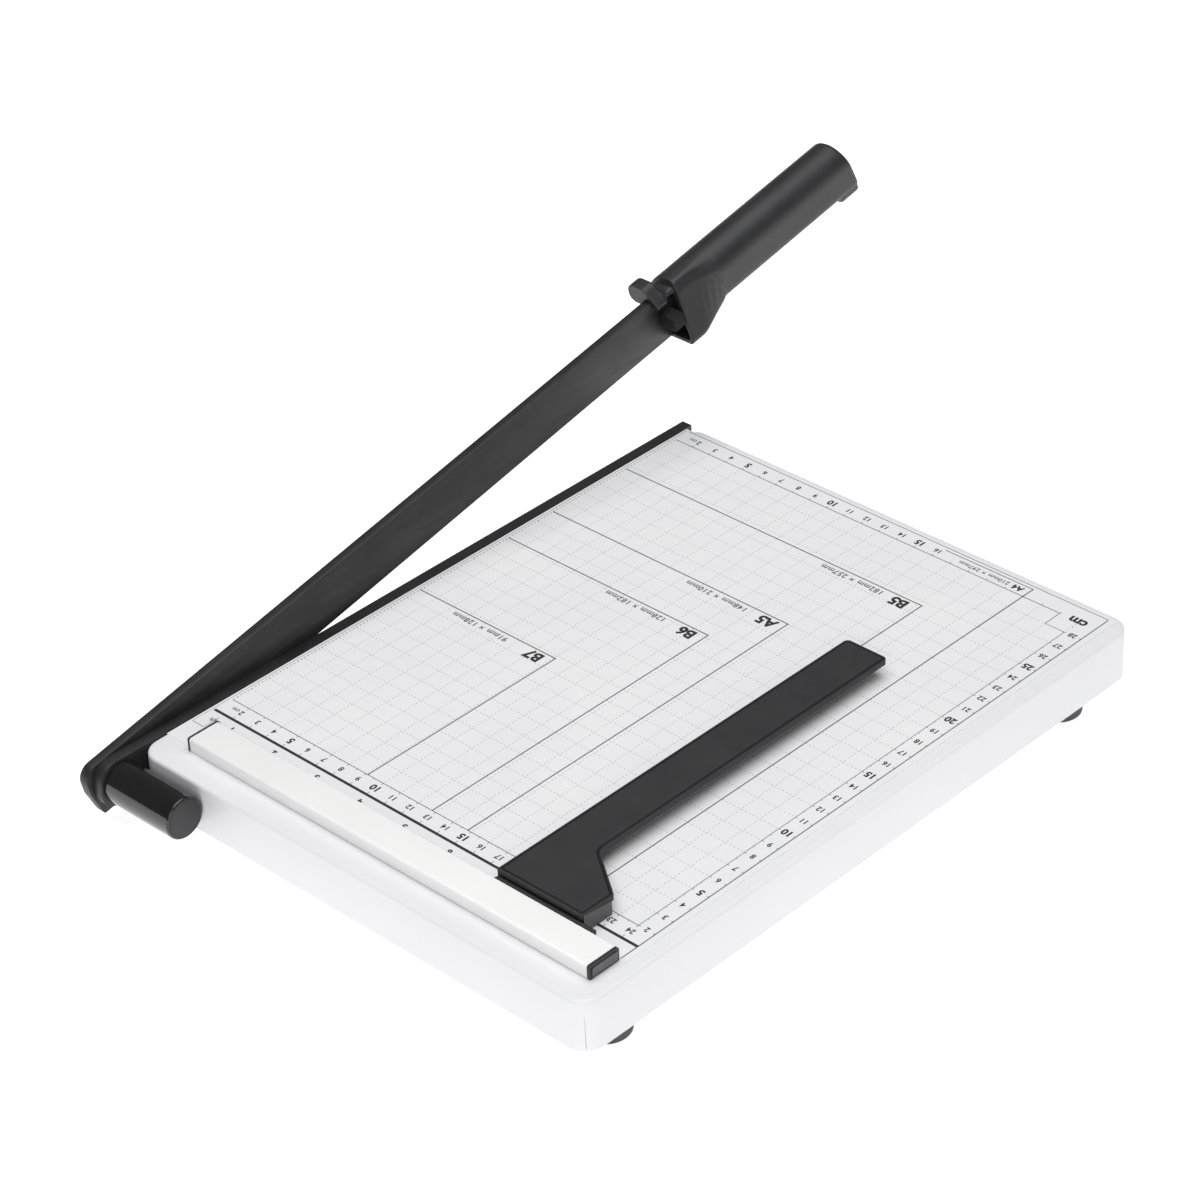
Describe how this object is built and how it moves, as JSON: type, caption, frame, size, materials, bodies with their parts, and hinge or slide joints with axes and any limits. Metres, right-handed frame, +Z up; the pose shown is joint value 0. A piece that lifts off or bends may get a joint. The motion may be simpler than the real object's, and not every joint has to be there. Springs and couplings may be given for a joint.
{
  "type": "guillotine paper cutter",
  "caption": "Desktop guillotine paper cutter with a flat measuring board, hinged blade arm with hand grip, sprung pivot, paper fence and sliding back gauge.",
  "frame": {"origin": "on the table plane, under the middle of the whole cutter's outline as drawn, with the arm raised 12 degrees", "axes": "+Z up; -Y towards the user, the handle and the front; +Y towards the fence and the arm's pivot; +X to the user's right, across the cutting edge"},
  "size_m": [0.2712, 0.473, 0.1305],
  "materials": {
    "white_paint": "satin white stove paint on folded steel",
    "printed_sheet": "matt laminated sheet with a fine printed grid",
    "black_steel": "satin black coated blade steel",
    "zinc": "bright zinc-plated fasteners",
    "bronze": "plain sintered bronze bearing",
    "rubber": "matt black rubber",
    "white_rail": "satin white coated extrusion",
    "black_plastic": "fine textured black moulding",
    "gloss_black": "smooth glossy black tube"
  },
  "bodies": {
    "base": {"tray": "white_paint", "foot_rail_front": "white_paint", "foot_rail_back": "white_paint", "print_sheet": "printed_sheet", "fixed_blade": "black_steel", "fixed_blade_bolts": "zinc", "foot_front_left": "rubber", "foot_front_right": "rubber", "foot_back_left": "rubber", "foot_back_right": "rubber", "foot_screws": "zinc", "pivot_bush": "bronze", "spring_housing": "gloss_black", "pivot_spring": "zinc", "fence_rail": "white_rail", "fence_end_cap": "black_plastic", "fence_near_cap": "black_plastic", "fence_screws": "zinc"},
    "arm": {"blade_arm": "black_steel", "arm_washer": "zinc", "pivot_bolt": "zinc", "spring_washer": "zinc", "pivot_nut": "zinc", "stop_block": "rubber", "handle": "black_plastic", "handle_screws": "zinc"},
    "gauge": {"gauge_plate": "black_plastic", "gauge_shoe": "black_plastic", "gauge_screws": "zinc"}
  },
  "joints": [
    {"name": "arm_pivot", "type": "hinge", "parent": "base", "child": "arm", "pos_m": [0.12137, 0.22311, 0.0206], "axis": [-1, 0, 0], "range_deg": [-9.37, 53]},
    {"name": "gauge_slide", "type": "slide", "parent": "base", "child": "gauge", "axis": [1, 0, 0], "range_m": [-0.0085, 0.155]}
  ]
}
